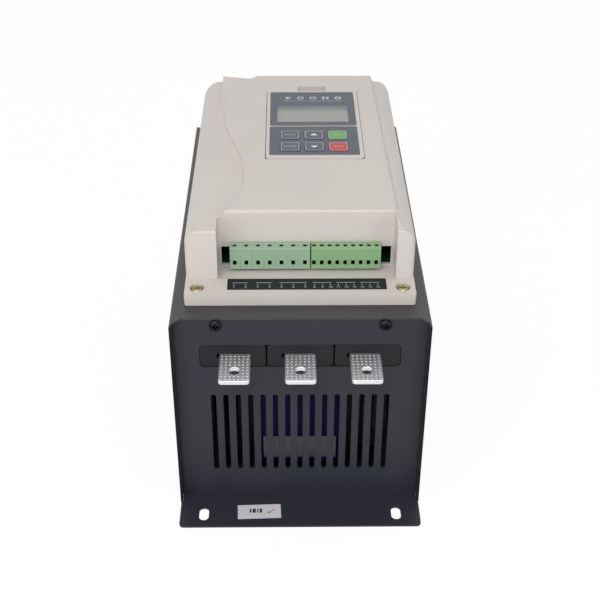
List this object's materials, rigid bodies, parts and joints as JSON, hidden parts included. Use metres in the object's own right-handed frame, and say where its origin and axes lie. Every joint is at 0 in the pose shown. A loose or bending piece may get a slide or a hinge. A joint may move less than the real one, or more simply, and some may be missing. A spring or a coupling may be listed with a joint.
{
  "type": "soft starter",
  "caption": "Motor soft starter: folded steel chassis with flanged ends and power tabs, moulded cover with a terminal bay, pull-off terminal plugs and a lift-out keypad.",
  "frame": {"origin": "middle of the mounting plane, under the unit as it lies on its back", "axes": "+Z out of the front towards the keypad, +Y towards the line end, -Y towards the load end, +X to the right of someone who reads the keypad"},
  "size_m": [0.162, 0.327, 0.1956],
  "materials": {
    "chassis_paint": "fine-textured powder coat",
    "panel_paint": "fine-textured powder coat",
    "black_screw": "black oxide",
    "insulator_plastic": "moulded, satin",
    "tinned_copper": "tin plated, knurled",
    "sink_aluminium": "extruded",
    "module_plastic": "moulded",
    "yellow_zinc": "yellow passivated zinc",
    "ct_epoxy": "cast",
    "core_steel": "varnished laminations",
    "winding_tape": "polyester tape",
    "band_paper": "paper band",
    "strap_steel": "zinc plated",
    "circuit_board": "solder mask",
    "relay_green": "moulded polyamide",
    "signal_green": "moulded polyamide",
    "clamp_steel": "plated",
    "cover_plastic": "moulded, fine texture",
    "legend_film": "printed film",
    "sticker_paper": "paper",
    "keypad_film": "printed polycarbonate film",
    "display_lens": "clear acrylic",
    "display_glass": "liquid crystal display",
    "key_grey": "printed",
    "key_green": "printed",
    "key_red": "printed"
  },
  "bodies": {
    "chassis": {"wrap_cover": "chassis_paint", "back_plate": "chassis_paint", "load_end_panel": "panel_paint", "line_end_panel": "panel_paint", "panel_screws": "black_screw", "load_insulator_1": "insulator_plastic", "load_insulator_2": "insulator_plastic", "load_insulator_3": "insulator_plastic", "line_insulator_1": "insulator_plastic", "line_insulator_2": "insulator_plastic", "line_insulator_3": "insulator_plastic", "load_busbar_1": "tinned_copper", "load_busbar_2": "tinned_copper", "load_busbar_3": "tinned_copper", "line_busbar_1": "tinned_copper", "line_busbar_2": "tinned_copper", "line_busbar_3": "tinned_copper", "heat_sink": "sink_aluminium", "thyristor_module_1": "module_plastic", "thyristor_module_2": "module_plastic", "thyristor_module_3": "module_plastic", "terminal_screws": "yellow_zinc", "transformer_screws": "yellow_zinc", "board_standoffs": "yellow_zinc", "cover_screws": "yellow_zinc", "current_transformer_1": "ct_epoxy", "current_transformer_2": "ct_epoxy", "current_transformer_3": "ct_epoxy", "transformer_core": "core_steel", "transformer_winding": "winding_tape", "winding_band": "band_paper", "transformer_strap": "strap_steel", "control_board": "circuit_board", "relay_header": "relay_green", "signal_header": "signal_green", "front_cover": "cover_plastic", "terminal_legend": "legend_film", "flange_sticker": "sticker_paper"},
    "keypad": {"keypad_frame": "cover_plastic", "key_film": "keypad_film", "display_film": "keypad_film", "display_window": "display_lens", "display_module": "display_glass", "keypad_board": "circuit_board"},
    "relay_plug": {"relay_plug": "relay_green", "relay_clamp_screws": "clamp_steel"},
    "signal_plug": {"signal_plug": "signal_green", "signal_clamp_screws": "clamp_steel"},
    "key_menu": {"key_menu": "key_grey"},
    "key_enter": {"key_enter": "key_grey"},
    "key_up": {"key_up": "key_grey"},
    "key_down": {"key_down": "key_grey"},
    "key_run": {"key_run": "key_green"},
    "key_stop": {"key_stop": "key_red"}
  },
  "joints": [
    {"name": "keypad_lift", "type": "slide", "parent": "chassis", "child": "keypad", "axis": [0, 0, 1], "range_m": [0, 0.03]},
    {"name": "relay_plug_pull", "type": "slide", "parent": "chassis", "child": "relay_plug", "axis": [0, -1, 0], "range_m": [0, 0.012]},
    {"name": "signal_plug_pull", "type": "slide", "parent": "chassis", "child": "signal_plug", "axis": [0, -1, 0], "range_m": [0, 0.012]},
    {"name": "menu_press", "type": "slide", "parent": "keypad", "child": "key_menu", "axis": [0, 0, -1], "range_m": [0, 0.0005], "stiffness_N_per_m": 2000},
    {"name": "enter_press", "type": "slide", "parent": "keypad", "child": "key_enter", "axis": [0, 0, -1], "range_m": [0, 0.0005], "stiffness_N_per_m": 2000},
    {"name": "up_press", "type": "slide", "parent": "keypad", "child": "key_up", "axis": [0, 0, -1], "range_m": [0, 0.0005], "stiffness_N_per_m": 2000},
    {"name": "down_press", "type": "slide", "parent": "keypad", "child": "key_down", "axis": [0, 0, -1], "range_m": [0, 0.0005], "stiffness_N_per_m": 2000},
    {"name": "run_press", "type": "slide", "parent": "keypad", "child": "key_run", "axis": [0, 0, -1], "range_m": [0, 0.0005], "stiffness_N_per_m": 2000},
    {"name": "stop_press", "type": "slide", "parent": "keypad", "child": "key_stop", "axis": [0, 0, -1], "range_m": [0, 0.0005], "stiffness_N_per_m": 2000}
  ]
}
